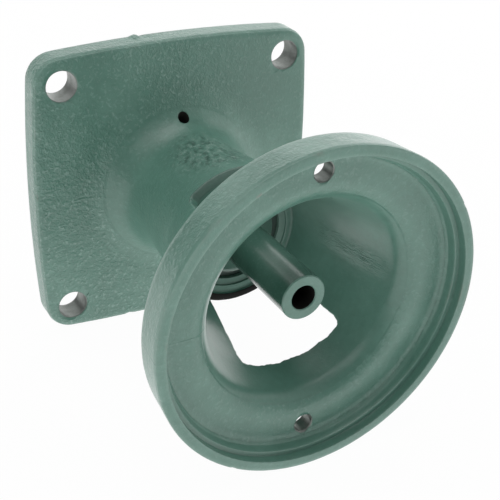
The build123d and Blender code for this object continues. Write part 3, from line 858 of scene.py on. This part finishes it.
shaftFinishes = ["shadedShaftPaint", "turnedSteel", "shadeBlackIron", "castingPaint"]
smoothGrain = 0.15  # grain of the painted parts that aren't cast


def markSmooth(bm):
    grain = bm.verts.layers.float.new("grain")
    markEdges(bm, 1)
    for vert in bm.verts:
        vert[grain] = smoothGrain


def shaftStep(radius, place):
    return shaftPiece["fineStep"] if place < shaftPiece["fineFrom"] else shaftPiece["plainStep"]


def shaftFinish(middle):
    inBore = math.hypot(middle.x, middle.z) < shaftPiece["boreReach"]
    if middle.y > shaftPiece["paintedTo"]:
        return "turnedSteel"
    # the shaft's bore takes the near-black iron: painted shade
    if inBore:
        return "shadeBlackIron"
    # the end face takes the lighter casting green and the body the darker copy: lit and shaded copies of one
    # paint, painted light and shade
    return "castingPaint" if middle.y < shaftPiece["endFrom"] else "shadedShaftPaint"


def makeShaft():
    bm = bmesh.new()
    drawWire(bm, shaftPiece["profile"])
    splitWire(bm, shaftStep)
    spinWire(bm, shaftPiece["columns"])
    markSmooth(bm)
    for face in bm.faces:
        face.material_index = shaftFinishes.index(shaftFinish(face.calc_center_median() / mm))
    finishPiece("shaftSkin", bm, shaftFinishes, "shaft", ["shaft"],
                shaftPiece["sharpAngle"])
    print("shaft made")


makeShaft()

# small spun pieces that stand for their nodes
spunPieces = {
    "frontSlingerSkin": {
        "profile": [(7.9575, -58.0, .1), (14.3, -58.0, .43), (14.3, -56.7, .43), (9.5975, -56.7, .15),
                    (9.5975, -54.9, .1), (7.9575, -54.9, .1)],
        "body": "shaft", "slot": "green_shaft_paint", "node": "front_slinger", "finish": "shadedShaftPaint"},
    "sealCaseSkin": {
        "profile": [(14.98, -7, .3), (14.98, -1, .5), (10.9588, -1, .2), (10.9588, -2, .2), (13.98, -2, .4),
                    (13.98, -7, .2)],
        "body": "bracket", "slot": "seal_case_steel", "node": "shaft_seal_case", "finish": "caseSteel"},
}
spunColumns = 120
spunStep = 1.0


def makeSpunPiece(name, spec):
    bm = bmesh.new()
    drawWire(bm, spec["profile"])
    splitWire(bm, lambda radius, place: spunStep)
    spinWire(bm, spunColumns)
    markSmooth(bm)
    finishPiece(name, bm, [spec["finish"]], spec["body"], [spec["node"]])


for name, spec in spunPieces.items():
    makeSpunPiece(name, spec)
print("spun pieces made:", len(spunPieces))

# finishes of the nodes that keep their own shape
nodeFinishes = {
    # the housing snap ring takes the darker green copy: painted shade
    "spacer_sleeve": "turnedSteel", "housing_snap_ring": "shadedPaint", "front_shaft_snap_ring": "blackOxide",
    "rear_shaft_snap_ring": "blackOxide", "spring_washer": "springSteel", "shaft_seal_spring": "springSteel",
    "water_slinger": "sealRubber", "shaft_seal_lip": "sealRubber",
}
bearingFinishes = {
    "outer_race": "groundSteel", "inner_race": "groundSteel", "balls": "ballSteel", "cage": "cagePlastic",
    "front_shield": "shieldSteel", "rear_shield": "shieldSteel",
}
for end in ("front", "rear"):
    nodeFinishes.update({end + "_bearing_" + part: finish for part, finish in bearingFinishes.items()})
for name, finish in nodeFinishes.items():
    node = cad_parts[name]
    if not node.data.materials:
        node.data.materials.append(finishes[finish])
    for index in range(len(node.material_slots)):
        node.material_slots[index].material = finishes[finish]
print("nodes dressed:", len(nodeFinishes))

# floor, world and lamps: lengths in metres, lifts in degrees
studio = {
    "floorHeight": -0.0572, "floorSize": 6.0, "floorTone": 0.9, "floorGlow": 1.36, "floorShown": 0.97,
    "world": 0.08, "aim": (0, -0.058, 0), "distance": 0.9,
    "low": {"lift": 19.5, "size": (0.746, 0.746)},
    "high": {"lift": 56.0, "size": (1.51, 0.449)},
    "top": {"lift": 90.0, "size": (0.65, 0.65)},
}
# soft panels: the azimuth in degrees counts from the back of the object to its right
panels = {
    "back": {"row": "low", "azimuth": 0, "radiance": 1.25},
    "backRight": {"row": "low", "azimuth": 45, "radiance": 1.5},
    "right": {"row": "low", "azimuth": 90, "radiance": 1.3},
    "frontRight": {"row": "low", "azimuth": 135, "radiance": 0.5},
    "left": {"row": "low", "azimuth": -90, "radiance": 0.18},
    "backHigh": {"row": "high", "azimuth": 0, "radiance": 0.27},
    "frontHigh": {"row": "high", "azimuth": 180, "radiance": 0.36},
    "leftHigh": {"row": "high", "azimuth": -90, "radiance": 0.95},
    "top": {"row": "top", "azimuth": 0, "radiance": 2.25},
}


def makeFloor(spec):
    bm = bmesh.new()
    bmesh.ops.create_grid(bm, x_segments=1, y_segments=1, size=spec["floorSize"] / 2,
                          matrix=Matrix.Translation((0, 0, spec["floorHeight"])))
    tree, shader = newMaterial("paleFloor")
    tone = spec["floorTone"]
    fillInputs(tree, shader, {"Base Color": (tone, tone, tone, 1), "Roughness": 0.9})
    seen = addNode(tree, "LightPath").outputs["Is Camera Ray"]
    strength = rangeNode(tree, seen, 0.0, 1.0, spec["floorGlow"], 1.0)
    glow = addNode(tree, "Emission", {"Color": (1, 1, 1, 1), "Strength": strength})
    mixed = addNode(tree, "MixShader", {0: spec["floorShown"], 1: shader.outputs["BSDF"], 2: glow.outputs[0]})
    fillInputs(tree, tree.nodes["Material Output"], {"Surface": mixed.outputs[0]})
    mesh = bpy.data.meshes.new("paleFloor")
    bm.to_mesh(mesh)
    bm.free()
    mesh.materials.append(finishes["paleFloor"])
    floor = bpy.data.objects.new("paleFloor", mesh)
    scene.collection.objects.link(floor)


def makeWorld(strength):
    world = bpy.data.worlds.new("studioWorld")
    scene.world = world
    world.use_nodes = True
    tree = world.node_tree
    path = addNode(tree, "LightPath").outputs
    seen = mathNode(tree, "MAXIMUM", path["Is Camera Ray"], path["Is Transmission Ray"])
    fillInputs(tree, tree.nodes["Background"], {"Color": (1, 1, 1, 1),
                                                "Strength": rangeNode(tree, seen, 0.0, 1.0, strength, 1.0)})


def addPanel(name, spec):
    row = studio[spec["row"]]
    data = bpy.data.lights.new(name, "AREA")
    data.shape = "RECTANGLE"
    data.size, data.size_y = row["size"]
    data.energy = math.pi * data.size * data.size_y * spec["radiance"]
    lamp = bpy.data.objects.new(name, data)
    scene.collection.objects.link(lamp)
    turn, lift = math.radians(spec["azimuth"]), math.radians(row["lift"])
    way = Vector((math.sin(turn) * math.cos(lift), math.cos(turn) * math.cos(lift), math.sin(lift)))
    lamp.location = Vector(studio["aim"]) + way * studio["distance"]
    lamp.rotation_euler = way.to_track_quat("Z", "Y").to_euler()
    lamp.visible_camera = False


makeFloor(studio)
makeWorld(studio["world"])
for name, spec in panels.items():
    addPanel(name, spec)
scene.view_settings.view_transform = "Standard"
print("studio made:", len(panels), "panels")
